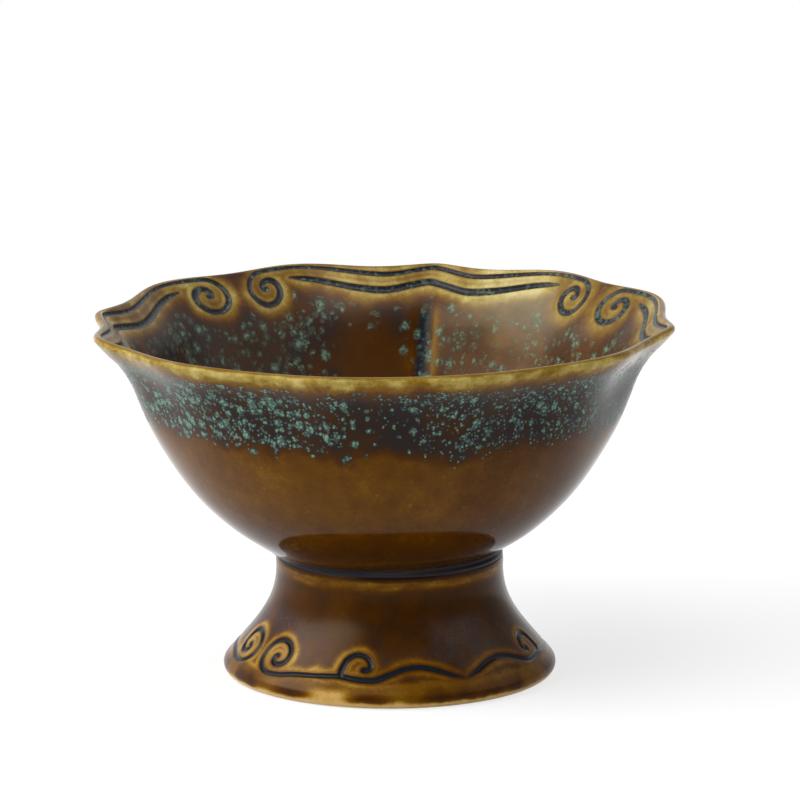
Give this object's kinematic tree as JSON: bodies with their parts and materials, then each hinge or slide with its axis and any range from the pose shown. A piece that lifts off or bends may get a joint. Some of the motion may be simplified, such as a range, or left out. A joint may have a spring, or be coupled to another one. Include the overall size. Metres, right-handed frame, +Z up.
{
  "type": "footed bowl",
  "caption": "Scalloped stoneware bowl with a flared, scroll-carved lip, luted onto a hollow flared foot and coated in a brown reactive glaze.",
  "frame": {"origin": "on the table, under the middle of the rim", "axes": "+Z up through the middle of the rim; the rim's four points lie on the X and Y axes; the foot is luted on a little towards +X"},
  "size_m": [0.161, 0.161, 0.0999],
  "materials": {
    "bowl_glaze": "glossy brown reactive glaze, amber where thin, blue-black where pooled, with teal crystals",
    "foot_glaze": "glossy brown glaze, amber where thin and blue-black where pooled",
    "slip": "fired stoneware clay, matt"
  },
  "bodies": {
    "root": {"bowl": "bowl_glaze", "pedestal_foot": "foot_glaze", "slip_joint": "slip"}
  },
  "joints": []
}
